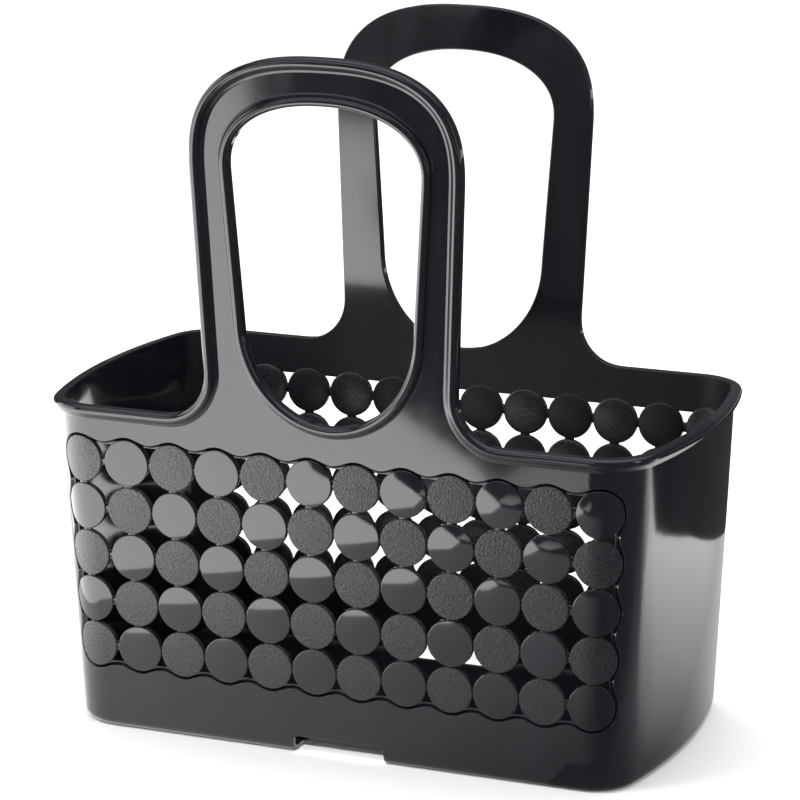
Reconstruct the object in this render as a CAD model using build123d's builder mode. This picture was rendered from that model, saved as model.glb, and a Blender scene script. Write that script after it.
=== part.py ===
"""Shower caddy: an open tub with two tall carrying loops, moulded in black plastic.

The tub is a rounded rectangle with bulged ends, wider at the rim than at the base. Its front and
rear walls hold a lattice of round discs, every other one grained, joined by small links. Each wall
rises into a carrying loop with a raised bead along both of its edges. The loops flex inwards at
a straight line just above the flares where their legs leave the wall.

Frame: millimetres, +Z up, X along the tub, Y from front to rear, origin at the middle of the base.
"""
import os
from math import atan2, cos, floor, radians, sin, sqrt

from build123d import *

# ---------------------------------------------------------------- driving dimensions

# Tub, measured outside the walls at its rim
rim_length = 298.0
rim_depth = 155.5
rim_height = 154.0
rim_bulge = 12.0             # how far each end wall bows out
end_lean = 8.0               # how far each end comes in from the rim to the base
side_lean = 4.75
bulge_lost = 2.0             # how much flatter the ends are at the base
corner_radius = 22.0
corner_split = 65.0          # degrees round each corner where an end wall meets a side wall
wall = 2.4

# Floor and foot
foot_edge_radius = 4.5
foot_width = 12.0            # flat ring that the caddy stands on
floor_lift = 1.2             # how far the floor panel is raised off that ring
floor_thickness = 2.4
drain_radius = 3.5
drain_pitch = 32.0
drain_columns = 7
drain_rows = 3
notch_width = 44.0           # drain notch at the foot of the front and rear walls
notch_height = 8.0
notch_radius = 3.0

# Disc lattice: as many discs as fit between its margins
disc_pitch = 22.5            # at the top row
lattice_taper = 0.9915       # each row's pitch over that of the row above
lattice_end_margin = 14.0    # from the outermost discs to the ends of the rim
lattice_top_margin = 14.35   # from the top discs to the rim
lattice_foot_margin = 25.0   # at least this from the lowest discs to the base
disc_gap = 0.6
end_disc_shift = 0.9         # further gap beside the end columns, which turn into the corners
disc_thickness = 3.0
moat = 1.0                   # gap round the outer discs, in the wall's outer face
ledge = 0.8                  # what is left of the wall behind that gap
ledge_reach = 6.2            # from the outer discs' centres out to the ledge's edge
link_width = 3.2
link_reach = 2.4
link_depth = 0.7             # below the discs' faces
link_thickness = 1.6

# Carrying loops, measured up the slope of the wall
loop_rise = 165.3            # from the rim to the top
leg_half_width = 60.0        # outside of the legs where they leave the flares
arch_half_width = 64.0       # outside of the legs where the arch begins
arch_depth = 50.0            # from the top down to where the legs begin
arch_crown = 7.5             # rise of the top between its shoulders
shoulder_radius = 33.0
flare_radius = 20.0
strap_top_width = 20.9
opening_above_rim = 1.7
opening_foot_half_width = 40.5
opening_foot_rise = 44.6
opening_top_half_width = 45.3
opening_top_rise = 28.7

# Beads and the flex line
bead_width = 4.5
bead_proud = 3.2
bead_round = 1.2
flex_above_flare = 12.0      # from the top of the flares to the line where the legs bend
flex_gap = 0.3

# ---------------------------------------------------------------- geometry shared by the pieces

base_length = rim_length - 2 * end_lean
base_depth = rim_depth - 2 * side_lean
base_bulge = rim_bulge - bulge_lost
draft = atan2(side_lean, rim_height)
rim_slope_height = rim_height / cos(draft)
loop_height = rim_slope_height + loop_rise
arch_start = loop_height - arch_depth
opening_foot = rim_slope_height + opening_above_rim
opening_top = loop_height - strap_top_width
flex_height = rim_height + flare_radius + flex_above_flare

columns = floor((rim_length - 2 * lattice_end_margin) / disc_pitch + 0.01)
rows = floor((rim_height - lattice_top_margin - lattice_foot_margin) / disc_pitch + 0.01)
top_row_height = rim_height - lattice_top_margin - (disc_pitch - disc_gap) / 2 - disc_gap / 2

front_plane = Plane(
    origin=(0, -base_depth / 2, 0), x_dir=(1, 0, 0), z_dir=(0, -cos(draft), -sin(draft))
)
well_clear = 60.0            # reach of cutting solids that run past the caddy


def between(base, rim, height):
    """A size at a height, from its values at the base and at the rim."""
    return base + (rim - base) * height / rim_height


def outline_sizes(height):
    """Length, depth and end bulge of the tub's outside at a height."""
    return (
        between(base_length, rim_length, height),
        between(base_depth, rim_depth, height),
        between(base_bulge, rim_bulge, height),
    )


def corner_centre(height):
    """X and Y of the centre of a corner's arc, where the straight side wall ends."""
    length, depth, bulge = outline_sizes(height)
    end_radius = ((depth / 2) ** 2 + bulge**2) / (2 * bulge)
    y = depth / 2 - corner_radius
    x = length / 2 - end_radius + sqrt((end_radius - corner_radius) ** 2 - y**2)
    return x, y


def outline(height, inset=0.0):
    """The tub's outline at a height: straight sides, bowed ends and round corners."""
    length, depth, bulge = outline_sizes(height)
    shoulder = length / 2 - bulge
    with BuildSketch(mode=Mode.PRIVATE) as sketch:
        with BuildLine():
            front = Line((-shoulder, -depth / 2), (shoulder, -depth / 2))
            right = ThreePointArc(front @ 1, (length / 2, 0), (shoulder, depth / 2))
            rear = Line(right @ 1, (-shoulder, depth / 2))
            ThreePointArc(rear @ 1, (-length / 2, 0), front @ 0)
        make_face()
        fillet(sketch.vertices(), corner_radius)
        if inset:
            offset(amount=-inset, mode=Mode.REPLACE)
    return sketch.sketch


def row_pitch(row):
    return disc_pitch * lattice_taper**row


def disc_radius(row):
    return (row_pitch(row) - disc_gap) / 2


def row_height(row):
    """Height of a row's centres, up the slope of the wall. Row 0 is the top one."""
    return top_row_height - sum((row_pitch(r) + row_pitch(r + 1)) / 2 for r in range(row))


def wall_point(along, slope_height):
    """A point on the front wall's outer face, following it round into the corners."""
    height = slope_height * cos(draft)
    straight, _ = corner_centre(height)
    depth = outline_sizes(height)[1]
    turn = max(0.0, abs(along) - straight) / corner_radius
    x = min(abs(along), straight) + corner_radius * sin(turn)
    y = depth / 2 - corner_radius * (1 - cos(turn))
    return Vector(x if along > 0 else -x, -y, height)


def station(along, half_width, slope_height):
    """A plane on the front wall: Z points outwards, X along the wall."""
    left = wall_point(along - half_width, slope_height)
    right = wall_point(along + half_width, slope_height)
    x_dir = (right - left).normalized()
    up = Vector(0, -sin(draft), cos(draft))
    return Plane(origin=(left + right) * 0.5, x_dir=x_dir, z_dir=x_dir.cross(up))


def disc_along(row, column):
    """How far along the wall a disc's centre is from the middle."""
    place = (column - (columns - 1) / 2) * row_pitch(row)
    shift = {0: -end_disc_shift, columns - 1: end_disc_shift}.get(column, 0.0)
    return place + shift


def disc_plane(row, column):
    return station(disc_along(row, column), disc_radius(row), row_height(row))


def strap_outline(inset=0.0):
    """One carrying loop's outside, from just below the rim, with the flares into the wall."""
    flare_end = leg_half_width + flare_radius
    rim = rim_slope_height
    half = arch_half_width - inset
    top = loop_height - inset
    foot = rim - bead_width - 2
    with BuildSketch(mode=Mode.PRIVATE) as sketch:
        with BuildLine():
            base = Line((-flare_end, foot), (flare_end, foot))
            right_edge = Line(base @ 1, (flare_end, rim - inset))
            right_flare = CenterArc(
                (flare_end, rim + flare_radius), flare_radius + inset, 180, 90
            )
            right_leg = Line(right_flare @ 0, (half, arch_start))
            right_arch = Line(right_leg @ 1, (half, top - arch_crown))
            crown = ThreePointArc(right_arch @ 1, (0, top), (-half, top - arch_crown))
            left_arch = Line(crown @ 1, (-half, arch_start))
            left_leg = Line(left_arch @ 1, (inset - leg_half_width, rim + flare_radius))
            CenterArc((-flare_end, rim + flare_radius), flare_radius + inset, 270, 90)
            Line((-flare_end, rim - inset), base @ 0)
        make_face()
        fillet(sketch.vertices().group_by(Axis.Y)[-1], shoulder_radius - inset)
    return sketch.sketch


def opening_outline(grow=0.0):
    """The hand opening inside a loop: elliptical at the top and at the foot."""
    foot_centre = opening_foot + opening_foot_rise
    top_centre = opening_top - opening_top_rise
    low = opening_foot_half_width + grow
    high = opening_top_half_width + grow
    with BuildSketch(mode=Mode.PRIVATE) as sketch:
        with BuildLine():
            EllipticalCenterArc((0, foot_centre), low, opening_foot_rise + grow, 180, arc_size=180)
            Line((low, foot_centre), (high, top_centre))
            EllipticalCenterArc((0, top_centre), high, opening_top_rise + grow, 0, arc_size=180)
            Line((-high, top_centre), (-low, foot_centre))
        make_face()
    return sketch.sketch


below_flex = Plane.XY.offset(flex_height - flex_gap / 2)
above_flex = Plane.XY.offset(flex_height + flex_gap / 2)

lattice = [(row, column) for row in range(rows) for column in range(columns)]
grained = [(row, column) for row, column in lattice if (row + column) % 2 == 0]
glossy = [(row, column) for row, column in lattice if (row + column) % 2 == 1]
edge_of_lattice = [
    (row, column)
    for row, column in lattice
    if row in (0, rows - 1) or column in (0, columns - 1)
]

# ---------------------------------------------------------------- the tub's shell

with BuildPart() as tub_outside:
    with BuildSketch():
        add(outline(0))
    with BuildSketch(Plane.XY.offset(rim_height)):
        add(outline(rim_height))
    loft(ruled=True)
    fillet(tub_outside.faces().sort_by(Axis.Z)[0].edges(), foot_edge_radius)

with BuildPart() as tub_inside:
    with BuildSketch(Plane.XY.offset(wall)):
        add(outline(wall, inset=wall))
    with BuildSketch(Plane.XY.offset(rim_height + well_clear)):
        add(outline(rim_height + well_clear, inset=wall))
    loft(ruled=True)
    fillet(tub_inside.faces().sort_by(Axis.Z)[0].edges(), foot_edge_radius - wall)

with BuildPart() as tub_shell:
    add(tub_outside.part)
    add(tub_inside.part, mode=Mode.SUBTRACT)
    with BuildSketch():
        add(outline(0, inset=foot_width))
    extrude(amount=wall, mode=Mode.SUBTRACT)

# Wedges that take the shell apart at the corners
split_x, split_y = corner_centre(rim_height)
turn_x, turn_y = sin(radians(corner_split)), cos(radians(corner_split))
far_x, far_y = split_x + well_clear * turn_x, split_y + well_clear * turn_y
near_x, near_y = split_x - split_y * turn_x, split_y - split_y * turn_y
with BuildPart() as front_zone:
    with BuildSketch(Plane.XY.offset(-1)):
        with BuildLine():
            Polyline((-far_x, -far_y), (far_x, -far_y), (near_x, -near_y), (-near_x, -near_y),
                     close=True)
        make_face()
    extrude(amount=rim_height + 2)

with BuildPart() as right_end_zone:
    with BuildSketch(Plane.XY.offset(-1)):
        with BuildLine():
            Polyline((far_x, -far_y), (far_x, far_y), (near_x, near_y), (near_x, -near_y),
                     close=True)
        make_face()
    extrude(amount=rim_height + 2)

# ---------------------------------------------------------------- disc lattice of the front wall


def discs(places):
    """The discs at some places of the lattice, set in from the wall's outer face."""
    with BuildPart() as group:
        for row, column in places:
            with BuildSketch(disc_plane(row, column)):
                Circle(disc_radius(row))
            extrude(amount=-disc_thickness)
    return group.part


with BuildPart() as front_gloss_discs:
    add(discs(glossy))

with BuildPart() as front_grained_discs:
    add(discs(grained))

with BuildPart() as front_disc_links:
    for row, column in lattice:
        if column < columns - 1:
            middle = (disc_along(row, column) + disc_along(row, column + 1)) / 2
            between_discs = station(middle, 1, row_height(row))
            with BuildSketch(between_discs.offset(-link_depth)):
                Rectangle(link_reach, link_width)
        if row < rows - 1:
            above, below = disc_plane(row, column).origin, disc_plane(row + 1, column).origin
            disc = disc_plane(row, column)
            drop = disc_radius(row) + disc_gap / 2
            share = drop / (above - below).length
            spot = Plane(
                origin=above + (below - above) * share, x_dir=disc.x_dir, z_dir=disc.z_dir
            )
            with BuildSketch(spot.offset(-link_depth)):
                Rectangle(link_width, link_reach)
    extrude(amount=-link_thickness)
    add(discs(lattice), mode=Mode.SUBTRACT)

# ---------------------------------------------------------------- front wall

with BuildPart() as lattice_window:
    for row, column in edge_of_lattice:
        with BuildSketch(disc_plane(row, column).offset(bead_proud)):
            Circle(disc_radius(row) + moat)
        extrude(amount=-(bead_proud + wall - ledge))
    for reach in (0, ledge_reach):
        top_half = disc_along(0, columns - 1) + reach
        low_half = disc_along(rows - 1, columns - 1) + reach
        top, low = row_height(0) + reach, row_height(rows - 1) - reach
        with BuildSketch(front_plane.offset(bead_proud)):
            with BuildLine():
                Polyline((-low_half, low), (low_half, low), (top_half, top), (-top_half, top),
                         close=True)
            make_face()
        extrude(amount=-(bead_proud + wall - ledge if reach == 0 else corner_radius + wall))

with BuildPart() as front_wall:
    add(tub_shell.part)
    add(front_zone.part, mode=Mode.INTERSECT)
    with BuildSketch(front_plane):
        add(strap_outline())
    extrude(amount=-wall)
    split(bisect_by=below_flex, keep=Keep.BOTTOM)
    with BuildSketch(front_plane):
        add(opening_outline())
    extrude(amount=wall * 2, both=True, mode=Mode.SUBTRACT)
    add(lattice_window.part, mode=Mode.SUBTRACT)
    add(discs(lattice), mode=Mode.SUBTRACT)
    with BuildSketch(Plane.XZ.offset(base_depth / 2 + 1)):
        with Locations((0, notch_height / 2 - notch_radius / 2)):
            RectangleRounded(notch_width, notch_height + notch_radius, notch_radius)
    extrude(amount=-(foot_width + 2), mode=Mode.SUBTRACT)

# ---------------------------------------------------------------- end walls and floor

with BuildPart() as right_end_wall:
    add(tub_shell.part)
    add(right_end_zone.part, mode=Mode.INTERSECT)

with BuildPart() as left_end_wall:
    add(right_end_wall.part, rotation=(0, 0, 180))

with BuildPart() as floor_pan:
    with BuildSketch(Plane.XY.offset(floor_lift)):
        add(outline(0, inset=foot_width))
        with GridLocations(drain_pitch, drain_pitch, drain_columns, drain_rows):
            Circle(drain_radius, mode=Mode.SUBTRACT)
    extrude(amount=floor_thickness)

# ---------------------------------------------------------------- beads

with BuildPart() as rim_ring:
    with BuildSketch(Plane.XY.offset(rim_height - bead_width)):
        add(outline(rim_height, inset=-bead_proud))
    extrude(amount=bead_width)
    bead_rims = rim_ring.edges().group_by(Axis.Z)
    fillet(bead_rims[0] + bead_rims[-1], bead_round)
    add(tub_outside.part, mode=Mode.SUBTRACT)


def long_outer_edges(bead):
    """The long edges of a bead's outermost face."""
    outermost = bead.faces().sort_by(Axis(front_plane.origin, front_plane.z_dir))[-1]
    return outermost.edges().filter_by(lambda edge: edge.length > bead_width * 1.5)


with BuildPart() as edge_bead:
    with BuildSketch(front_plane):
        add(strap_outline())
        add(strap_outline(inset=bead_width), mode=Mode.SUBTRACT)
    extrude(amount=bead_proud)
    fillet(long_outer_edges(edge_bead), bead_round)

with BuildPart() as opening_bead:
    with BuildSketch(front_plane):
        add(opening_outline(grow=bead_width))
        add(opening_outline(), mode=Mode.SUBTRACT)
    extrude(amount=bead_proud)
    fillet(long_outer_edges(opening_bead), bead_round)

with BuildPart() as right_rim_bead:
    add(rim_ring.part)
    split(bisect_by=Plane.YZ.offset(leg_half_width + flare_radius - 1), keep=Keep.TOP)
    add(edge_bead.part)
    add(edge_bead.part, rotation=(0, 0, 180))
    split(bisect_by=Plane.YZ, keep=Keep.TOP)
    split(bisect_by=below_flex, keep=Keep.BOTTOM)

with BuildPart() as left_rim_bead:
    add(right_rim_bead.part, rotation=(0, 0, 180))

with BuildPart() as front_opening_bead:
    add(opening_bead.part)
    split(bisect_by=below_flex, keep=Keep.BOTTOM)

# ---------------------------------------------------------------- carrying loop above the flex line

with BuildPart() as front_handle_strap:
    with BuildSketch(front_plane):
        add(strap_outline())
        add(opening_outline(), mode=Mode.SUBTRACT)
    extrude(amount=-wall)
    split(bisect_by=above_flex, keep=Keep.TOP)

with BuildPart() as front_handle_edge_bead:
    add(edge_bead.part)
    split(bisect_by=above_flex, keep=Keep.TOP)

with BuildPart() as front_handle_opening_bead:
    add(opening_bead.part)
    split(bisect_by=above_flex, keep=Keep.TOP)

# ---------------------------------------------------------------- rear side, the front one turned round

front_pieces = {
    "wall": front_wall,
    "gloss_discs": front_gloss_discs,
    "grained_discs": front_grained_discs,
    "disc_links": front_disc_links,
    "opening_bead": front_opening_bead,
    "handle_strap": front_handle_strap,
    "handle_edge_bead": front_handle_edge_bead,
    "handle_opening_bead": front_handle_opening_bead,
}
pieces = {
    "floor_pan": floor_pan.part,
    "left_end_wall": left_end_wall.part,
    "right_end_wall": right_end_wall.part,
    "left_rim_bead": left_rim_bead.part,
    "right_rim_bead": right_rim_bead.part,
}
for name, piece in front_pieces.items():
    with BuildPart() as rear_piece:
        add(piece.part, rotation=(0, 0, 180))
    pieces["front_" + name] = piece.part
    pieces["rear_" + name] = rear_piece.part

os.makedirs("parts", exist_ok=True)
for name, part in pieces.items():
    part.label = name
    export_step(part, f"parts/{name}.step")
    size = part.bounding_box().size
    print(f"{name:26s} {len(part.solids()):3d} solids  {size.X:6.1f} x {size.Y:6.1f} x {size.Z:6.1f} mm")
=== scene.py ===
"""Shower caddy: one glossy black moulding, an open tub with two tall hand loops.

A lesson in cells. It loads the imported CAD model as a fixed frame, draws the moulding again as
smooth sheets with rounded edges, and gives every surface its finish.
"""
# %% [markdown]
# ## The frame
# The CAD model is the fixed frame that everything here is built around. Its pieces keep their
# places and sizes; each one is replaced by a finer mesh of the same shape. The box round the CAD
# model is measured to aim the camera.

from math import acos, atan2, cos, pi, radians, sin, sqrt, tan

import bmesh
import bpy
import numpy as np
from mathutils import Matrix, Vector
from mathutils.geometry import delaunay_2d_cdt


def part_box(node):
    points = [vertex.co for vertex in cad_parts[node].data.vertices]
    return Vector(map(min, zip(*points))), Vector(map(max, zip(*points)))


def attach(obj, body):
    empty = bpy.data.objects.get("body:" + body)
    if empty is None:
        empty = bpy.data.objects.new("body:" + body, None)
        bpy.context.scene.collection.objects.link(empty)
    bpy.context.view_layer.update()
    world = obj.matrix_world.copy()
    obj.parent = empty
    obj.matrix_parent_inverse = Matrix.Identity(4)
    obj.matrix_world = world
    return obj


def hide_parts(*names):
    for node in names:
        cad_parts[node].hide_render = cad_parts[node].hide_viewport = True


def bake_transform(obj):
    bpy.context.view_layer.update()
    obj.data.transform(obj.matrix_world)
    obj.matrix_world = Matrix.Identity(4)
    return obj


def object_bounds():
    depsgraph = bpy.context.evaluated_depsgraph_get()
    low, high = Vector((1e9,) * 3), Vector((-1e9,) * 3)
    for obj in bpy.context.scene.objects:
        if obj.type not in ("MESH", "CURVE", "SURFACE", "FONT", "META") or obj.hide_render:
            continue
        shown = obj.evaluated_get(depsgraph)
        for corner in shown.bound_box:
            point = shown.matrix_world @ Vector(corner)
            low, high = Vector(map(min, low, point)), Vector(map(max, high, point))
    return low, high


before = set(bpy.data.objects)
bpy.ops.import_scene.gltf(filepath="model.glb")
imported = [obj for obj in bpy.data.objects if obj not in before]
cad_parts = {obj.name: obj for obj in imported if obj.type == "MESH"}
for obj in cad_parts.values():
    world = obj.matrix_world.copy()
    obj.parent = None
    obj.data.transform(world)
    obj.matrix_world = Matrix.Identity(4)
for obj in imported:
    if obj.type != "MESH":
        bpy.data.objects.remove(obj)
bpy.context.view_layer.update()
MM = 0.001


# %% [markdown]
# ## Sizes
# The pattern on the walls is drawn flat, in millimetres, and then laid on the walls. Overall sizes
# are read from the boxes of the CAD nodes. The rest are the moulding's own details: widths of
# beads, pitch of the discs and the small radii that a mould leaves on every edge.

# %% Read the overall sizes from the CAD boxes
def node_box(name):
    """A CAD node's lowest and highest corners, in millimetres."""
    low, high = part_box(name)
    return np.array(low) / MM, np.array(high) / MM


wall = 2.4
bead_width = 4.5
bead_proud = 3.2
foot_width = 12.0
foot_round = 4.5
corner_radius = 22.0
corner_split = radians(65)

rim_height = node_box("right_end_wall")[1][2]
rim_length = 2 * (node_box("right_rim_bead")[1][0] - bead_proud)
floor_low, floor_high = node_box("floor_pan")
base_length, base_depth = floor_high[:2] - floor_low[:2] + 2 * foot_width
strap_low, strap_high = node_box("front_handle_strap")
draft = atan2(-strap_low[1] - base_depth / 2, strap_high[2])
rim_depth = base_depth + 2 * rim_height * tan(draft)
base_bulge, rim_bulge = 10.0, 12.0
rim_up = rim_height / cos(draft)
loop_up = strap_high[2] / cos(draft)
print("rim", rim_length, rim_depth, "base", base_length, base_depth, "rim height", rim_height)

# %% [markdown]
# ## The walls as one surface
# A moulded tub has one continuous wall. A place on it is given by how far along the outline it is
# from the middle of the front, and how far up the slope. The outline is a straight front, a round
# corner and a bowed end, a little larger at the rim than at the base. Because this is a formula,
# the direction that the surface faces is known exactly at every point, and a glossy black surface
# shows every error in that direction.

# %% The tub's outline at any height
STEP = 0.02


def outline_at(height):
    """The outline's straight half length, corner centre, corner turn and end arc at a height."""
    share = height / rim_height
    length = base_length + (rim_length - base_length) * share
    depth = base_depth + (rim_depth - base_depth) * share
    bulge = base_bulge + (rim_bulge - base_bulge) * share
    end_radius = ((depth / 2) ** 2 + bulge**2) / (2 * bulge)
    centre_y = depth / 2 - corner_radius
    end_x = length / 2 - end_radius
    straight = end_x + np.sqrt((end_radius - corner_radius) ** 2 - centre_y**2)
    turn = pi / 2 - np.arctan2(centre_y, straight - end_x)
    return straight, centre_y, turn, end_x, end_radius


def wall_point(along, up):
    """Points of the tub's outer face, from the middle of the front round to the end."""
    straight, centre_y, turn, end_x, end_radius = outline_at(up * cos(draft))
    distance = np.abs(along)
    angle = np.clip((distance - straight) / corner_radius, 0, turn)
    x = np.minimum(distance, straight) + corner_radius * np.sin(angle)
    y = centre_y + corner_radius * np.cos(angle)
    swing = pi / 2 - turn - (distance - straight - corner_radius * turn) / end_radius
    bowed = distance > straight + corner_radius * turn
    x = np.where(bowed, end_x + end_radius * np.cos(swing), x)
    y = np.where(bowed, end_radius * np.sin(swing), y)
    height = up * cos(draft) + 0 * distance
    return np.stack([np.copysign(x, along), -y, height], axis=-1)


def half_outline(up):
    """The distance along the wall from the middle of the front to the middle of the end."""
    straight, _, turn, _, end_radius = outline_at(up * cos(draft))
    return straight + corner_radius * turn + end_radius * (pi / 2 - turn)


def border(up):
    """Where a side wall ends and an end wall begins, round the corner."""
    return outline_at(up * cos(draft))[0] + corner_radius * corner_split


def unit(vectors):
    return vectors / np.maximum(np.linalg.norm(vectors, axis=-1, keepdims=True), 1e-12)


def lay_on_wall(flat, facing):
    """Flat points (along, up, out) and the way they face, laid on the tub's wall."""
    along, up, out = flat[:, 0], flat[:, 1], flat[:, 2]
    east = unit(wall_point(along + STEP, up) - wall_point(along - STEP, up))
    north = unit(wall_point(along, up + STEP) - wall_point(along, up - STEP))
    outward = unit(np.cross(east, north))
    points = wall_point(along, up) + out[:, None] * outward
    faces = facing[:, 0:1] * east + facing[:, 1:2] * north + facing[:, 2:3] * outward
    return points, unit(faces)


print("half outline at the rim:", round(float(half_outline(rim_up)), 1), "mm")

# %% [markdown]
# ## Strips and skins
# A moulding is a skin of even thickness with a small round along every edge. Here each piece is
# put together from strips, which are lines of points joined by four-sided faces, and from skins,
# which are triangles that fill an outline. The way each point faces is known from the formula, so
# it is written down beside the point and given to the finished mesh. That keeps reflections as
# even as on a polished mould.

# %% A piece made of strips and skins
WELD = 0.002
GRID_SHIFT = 0.137  # keeps round numbers off the borders of the welding grid


class Moulding:
    """One piece in the making: its points in millimetres, the way they face, and its faces."""

    def __init__(self):
        self.points, self.facing, self.faces, self.count = [], [], [], 0

    def add(self, points, facing, faces):
        self.faces += [tuple(corner + self.count for corner in face) for face in faces]
        self.points.append(points)
        self.facing.append(facing)
        self.count += len(points)

    def strips(self, points, facing):
        """Faces between rows of points; both arrays are rows by columns by three."""
        rows, columns = points.shape[:2]
        faces = [
            (r * columns + c, r * columns + c + 1, (r + 1) * columns + c + 1, (r + 1) * columns + c)
            for r in range(rows - 1)
            for c in range(columns - 1)
        ]
        self.add(points.reshape(-1, 3), facing.reshape(-1, 3), faces)

    def cap(self, points, facing):
        """One face across an end that is hidden against the next piece."""
        self.add(points, facing, [tuple(range(len(points)))])

    def mirror(self, axis):
        """Adds the mirror image, for a piece that is drawn by half."""
        flip = np.where(np.arange(3) == axis, -1.0, 1.0)
        points, facing = np.concatenate(self.points), np.concatenate(self.facing)
        self.add(points * flip, facing * flip, [face[::-1] for face in self.faces])

    def turned(self):
        """The same piece turned half a turn about the caddy's middle."""
        other = Moulding()
        half_turn = np.array([-1.0, -1.0, 1.0])
        points, facing = np.concatenate(self.points), np.concatenate(self.facing)
        other.add(points * half_turn, facing * half_turn, self.faces)
        return other

    def build(self, name, finish):
        """Welds the points, turns the faces outwards and makes the Blender object."""
        points, facing = np.concatenate(self.points), np.concatenate(self.facing)
        keys = np.round(points / WELD + GRID_SHIFT).astype(np.int64)
        _, first, back = np.unique(keys, axis=0, return_index=True, return_inverse=True)
        back = back.reshape(-1)
        points, facing = points[first] * MM, facing[first]
        bm = bmesh.new()
        corners = [bm.verts.new(point) for point in points]
        for face in self.faces:
            ring = list(dict.fromkeys(int(back[i]) for i in face))
            if len(ring) > 2:
                try:
                    bm.faces.new([corners[i] for i in ring]).smooth = True
                except ValueError:
                    continue
        bm.verts.index_update()
        bmesh.ops.recalc_face_normals(bm, faces=bm.faces)
        open_edges = sum(not edge.is_manifold for edge in bm.edges)
        if bm.calc_volume(signed=True) < 0:
            bmesh.ops.reverse_faces(bm, faces=bm.faces)
        mesh = bpy.data.meshes.new(name)
        bm.to_mesh(mesh)
        bm.free()
        mesh.normals_split_custom_set_from_vertices(unit(facing))
        mesh.materials.append(finish)
        piece = bpy.data.objects.new(name, mesh)
        bpy.context.collection.objects.link(piece)
        print(name, len(mesh.vertices), "points", len(mesh.polygons), "faces, open:", open_edges)
        return piece


# %% Flat outlines: even spacing, softened bends and the direction across them
def evenly(points, spacing):
    """The same line with its points evenly spaced."""
    points = np.asarray(points, float)
    lengths = np.r_[0, np.cumsum(np.linalg.norm(np.diff(points, axis=0), axis=1))]
    places = np.linspace(0, lengths[-1], max(2, int(round(lengths[-1] / spacing)) + 1))
    return np.stack([np.interp(places, lengths, points[:, i]) for i in range(2)], axis=1)


def soften(points, rounds):
    """Smooths the bends of an evenly spaced line; its two ends stay where they are."""
    points = points.copy()
    for _ in range(rounds):
        points[1:-1] = (points[:-2] + 2 * points[1:-1] + points[2:]) / 4
    return points


def across(points, side):
    """Unit vectors across a line: to its left for side 1, to its right for side -1."""
    ahead = np.gradient(points, axis=0)
    return unit(np.stack([-ahead[:, 1], ahead[:, 0]], axis=1)) * side


def arc(centre, radius, start, end, steps=24):
    angles = np.radians(np.linspace(start, end, steps))
    return np.array(centre) + radius * np.stack([np.cos(angles), np.sin(angles)], axis=1)


def super_arc(half_width, rise, exponent, steps=80):
    """A quarter of a superellipse, from its side up to its top."""
    angles = np.linspace(0, pi / 2, steps)
    x = half_width * np.cos(angles).clip(0) ** (2 / exponent)
    y = rise * np.sin(angles).clip(0) ** (2 / exponent)
    return np.stack([x, y], axis=1)


# %% Fill an outline with triangles
def inside(places, loops):
    """Whether each place is inside an odd number of closed loops."""
    odd = np.zeros(len(places), bool)
    x, y = places[:, 0:1], places[:, 1:2]
    for loop in loops:
        a, b = loop, np.roll(loop, -1, axis=0)
        spans = (a[:, 1] > y) != (b[:, 1] > y)
        rise = np.where(a[:, 1] == b[:, 1], 1.0, b[:, 1] - a[:, 1])
        crossing = a[:, 0] + (y - a[:, 1]) / rise * (b[:, 0] - a[:, 0])
        odd ^= ((spans & (x < crossing)).sum(axis=1) % 2).astype(bool)
    return odd


def fill(loops, spacing):
    """Triangles inside closed outlines: the outlines' own points come first, then a grid's."""
    edges, start = [], 0
    for loop in loops:
        count = len(loop)
        edges += [(start + i, start + (i + 1) % count) for i in range(count)]
        start += count
    outline = np.concatenate(loops)
    low, high = outline.min(axis=0), outline.max(axis=0)
    grid = np.stack(np.meshgrid(
        np.arange(low[0] + spacing[0] / 2, high[0], spacing[0]),
        np.arange(low[1] + spacing[1] / 2, high[1], spacing[1]),
    ), axis=-1).reshape(-1, 2)
    grid = grid[inside(grid, loops)]
    gap = np.array([np.linalg.norm(outline - place, axis=1).min() for place in grid])
    grid = grid[gap > min(spacing) * 0.6]
    places = np.concatenate([outline, grid])
    found = delaunay_2d_cdt([Vector(place) for place in places], edges, [], 0, 1e-7)
    original = [ids[0] if ids else None for ids in found[3]]
    triangles = np.array([[original[i] for i in face] for face in found[2]])
    middles = places[triangles].mean(axis=1)
    return places, triangles[inside(middles, loops)]


# %% Lay strips and skins on the wall
def lay_places(places, out, facing):
    """Flat places laid at one depth of the wall, all facing the same way: along, up and out."""
    flat = np.column_stack([places, np.full(len(places), out)])
    return lay_on_wall(flat, np.tile(np.array(facing, float), (len(places), 1)))


def level_line(along, up):
    """A line along the wall at one height."""
    return np.column_stack([along, np.full(len(along), up)])


def lay_strip(piece, line, inward, profile):
    """A strip along a flat line. The profile's rows are across, out and the way they face."""
    rows, facings = [], []
    for offset, out, face_across, face_out in profile:
        flat = np.column_stack([line + inward * offset, np.full(len(line), out)])
        facing = np.column_stack([inward * face_across, np.full(len(line), face_out)])
        points, faces = lay_on_wall(flat, facing)
        rows.append(points)
        facings.append(faces)
    piece.strips(np.stack(rows), np.stack(facings))
    return np.stack(rows), np.stack(facings)


def lay_skin(piece, loops, out, side, spacing=(3.0, 6.0)):
    """A skin that fills flat outlines at one depth of the wall. It faces out or in."""
    places, triangles = fill(loops, spacing)
    piece.add(*lay_places(places, out, (0, 0, side)), [tuple(triangle) for triangle in triangles])


def rounded(corner, radius, start, end, steps=3, side=1):
    """Profile rows round an edge, facing out of the round, or into it for side -1."""
    turns = [(cos(a), sin(a)) for a in np.radians(np.linspace(start, end, steps + 1))]
    return [(corner[0] + radius * x, corner[1] + radius * y, side * x, side * y) for x, y in turns]


print("mesh helpers ready; points closer than", WELD, "mm are welded")

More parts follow.
